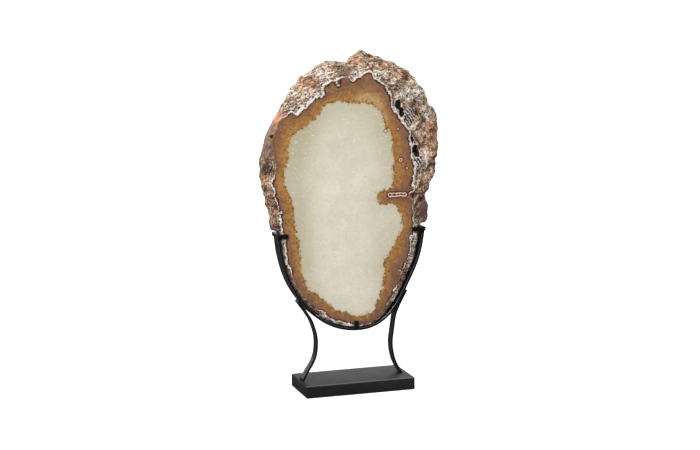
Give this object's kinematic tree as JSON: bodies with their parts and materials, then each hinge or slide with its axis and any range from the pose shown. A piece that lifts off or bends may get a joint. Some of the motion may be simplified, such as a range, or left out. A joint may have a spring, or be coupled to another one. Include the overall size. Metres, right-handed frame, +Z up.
{
  "type": "agate slab on a metal stand",
  "caption": "Upright polished agate slab with a milky quartz core and a rough brown and white rind, held in a black metal cradle stand.",
  "frame": {"origin": "middle of the base's underside, on the surface it stands on", "axes": "+Z up, +X along the base's long side, -Y towards the slab's polished front"},
  "size_m": [0.2786, 0.08, 0.5061],
  "materials": {
    "base_paint": "satin black",
    "frame_paint": "satin black",
    "agate": "polished faces, rough rind"
  },
  "bodies": {
    "root": {"base": "base_paint", "leg_left": "frame_paint", "leg_right": "frame_paint", "cradle_band": "frame_paint", "clip_left": "frame_paint", "clip_right": "frame_paint", "prong_front": "frame_paint", "prong_back": "frame_paint", "agate_slab": "agate"}
  },
  "joints": []
}
